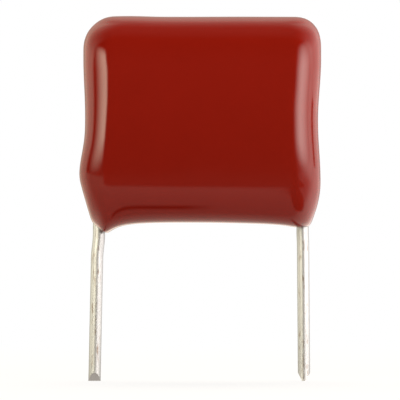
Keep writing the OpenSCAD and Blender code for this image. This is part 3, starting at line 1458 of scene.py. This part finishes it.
    def world(self) -> None:
        """Makes the world white to the camera, bright round the object and dim on the camera's side."""
        world = bpy.data.worlds.new("studio")
        bpy.context.scene.world = world
        world.use_nodes = True
        tree = world.node_tree
        tree.nodes.clear()
        ray = add_node(tree, "ShaderNodeLightPath").outputs
        direct = ray["Is Camera Ray"]
        way = add_node(tree, "ShaderNodeTexCoord").outputs["Generated"]
        rays = {0: ray["Is Glossy Ray"], 1: ray["Is Transmission Ray"]}
        mirrored = add_node(tree, "ShaderNodeMath", PLUS, rays).outputs[0]
        levels = {MIX_SHARE: mirrored, NUMBER_A: self.ambient, NUMBER_B: self.world_level(tree, way)}
        soft = add_node(tree, "ShaderNodeMix", NUMBERS, levels).outputs[NUMBER_OUT]
        lit = self.lit(tree, direct, soft, self.tint(tree, way, self.tint_turn))
        glow = add_node(tree, "ShaderNodeBackground", inputs=lit)
        add_node(tree, "ShaderNodeOutputWorld", inputs={"Surface": glow.outputs["Background"]})
        world.cycles.sampling_method = "NONE"

    def world_level(self, tree: Tree, way: Socket) -> Socket:
        """Works out the level of the surroundings in reflections: walls of light, dimmer straight behind.

        Args:
            tree: The world's tree.
            way: The direction from the object.

        Returns:
            The level.
        """
        axes = add_node(tree, "ShaderNodeSeparateXYZ", inputs={"Vector": way}).outputs
        sideways = {
            "Value": axes["X"],
            "From Min": self.side_from,
            "From Max": self.side_to,
            "To Min": self.left_level,
            "To Max": self.right_level,
        }
        side = add_node(tree, "ShaderNodeMapRange", inputs=sideways).outputs["Result"]
        starts = {
            "Value": axes["X"],
            "From Min": -self.side_to,
            "From Max": self.side_to,
            "To Min": self.left_start,
            "To Max": self.right_start,
        }
        start = add_node(tree, "ShaderNodeMapRange", inputs=starts).outputs["Result"]
        past = {
            "Value": add_node(tree, "ShaderNodeMath", LESS, {0: axes["Y"], 1: start}).outputs[0],
            "From Min": 0.0,
            "From Max": self.start_width,
            "To Min": self.front_level,
            "To Max": side,
        }
        wall = add_node(tree, "ShaderNodeMapRange", SOFT, past).outputs["Result"]
        low, high = (
            add_node(
                tree,
                "ShaderNodeMapRange",
                inputs={"Value": axes["X"], "From Min": -1.0, "To Min": left, "To Max": right},
            ).outputs["Result"]
            for left, right in zip(self.left_top, self.right_top)
        )
        upwards = {
            "Value": axes["Z"],
            "From Min": low,
            "From Max": high,
            "To Min": 1.0,
            "To Max": self.top_share,
        }
        top = add_node(tree, "ShaderNodeMapRange", inputs=upwards).outputs["Result"]
        backwards = {
            "Value": axes["Y"],
            "From Min": self.back_from,
            "From Max": self.back_to,
            "To Min": 1.0,
            "To Max": self.back_share,
        }
        behind = add_node(tree, "ShaderNodeMapRange", inputs=backwards).outputs["Result"]
        bright = add_node(tree, "ShaderNodeMath", TIMES, {0: wall, 1: top}).outputs[0]
        return add_node(tree, "ShaderNodeMath", TIMES, {0: bright, 1: behind}).outputs[0]

    def lamps(self) -> list[bpy.types.Object]:
        """Sets up the lamps.

        Returns:
            The lamps' objects.
        """
        lamps = [
            SoftBox(
                Side.LEFT,
                inner=22.0,
                outer=79.0,
                distance=75.0,
                low=-5.2,
                high=88.0,
                radiance=5.7,
                inner_fade=0.2,
                outer_fade=0.75,
                high_fade=0.5,
                low_fade=0.14,
                slant=15.0,
                colour=self.left_tint,
            ),
            SoftBox(
                Side.RIGHT,
                inner=17.0,
                outer=95.0,
                distance=75.0,
                low=-7.0,
                high=135.0,
                radiance=5.7,
                inner_fade=0.45,
                outer_fade=0.6,
                high_fade=0.9,
                low_fade=0.06,
                slant=8.0,
                colour=self.right_tint,
            ),
            FillLamp("overhead", turn=180.0, rise=62.0, distance=170.0, width=150.0, radiance=7.0),
            FillLamp("left_fill", turn=-95.0, rise=12.0, distance=150.0, width=110.0, radiance=3.2),
            FillLamp("right_fill", turn=87.0, rise=12.0, distance=150.0, width=110.0, radiance=7.6),
        ]
        return [lamp.place() for lamp in lamps]

    def camera(self) -> bpy.types.Object:
        """Sets up the camera, level with the object's middle.

        Returns:
            The camera's object.
        """
        data = bpy.data.cameras.new("camera")
        data.sensor_width = self.sensor_mm
        data.lens = self.sensor_mm * self.camera_distance / self.frame_width
        data.clip_start = self.clip_start_m
        data.clip_end = self.clip_end_m
        camera = bpy.data.objects.new("camera", data)
        camera.location = Vector((self.look_x, -self.camera_distance, self.look_z)) * MM
        camera.rotation_euler = (QUARTER_TURN, 0, 0)
        bpy.context.scene.collection.objects.link(camera)
        bpy.context.scene.camera = camera
        return camera


def main() -> None:
    """Builds the pieces in order, dresses the sealed nodes and sets up the studio."""
    logging.basicConfig(level=logging.INFO, format="%(name)s: %(message)s")
    bpy.context.scene.view_settings.view_transform = "Standard"
    half_t = CAD_BOX[1].y / MM
    mounts = {mount["name"]: mount for mount in frame["record"]["mounts"]}
    radius = mounts["left_lead_pin"]["dims"]["r_mm"]
    lead_x = LEAD_PITCH / 2
    tip_z = -LEAD_REACH

    coating = DippedCoating(height=BODY_HEIGHT, half_t=half_t, lead_x=lead_x, lead_r=radius)
    log.info("built %s", coating.build().name)
    wires = [
        WireLead(Side.LEFT, CutTurn.ALONG_PITCH, lead_x, radius, tip_z, kick=7.0, lean=1.2),
        WireLead(Side.RIGHT, CutTurn.ACROSS_PITCH, lead_x, radius, tip_z, kick=3.0, lean=0.4),
    ]
    for wire in wires:
        log.info("built %s", wire.build().name)
    for name in WoundCore().dress():
        log.info("dressed %s", name)

    studio = Studio(floor_z=CAD_BOX[0].z / MM)
    studio.world()
    studio.floor()
    studio.lamps()
    studio.flag.place()
    studio.camera()


if __name__ == "__main__":
    main()
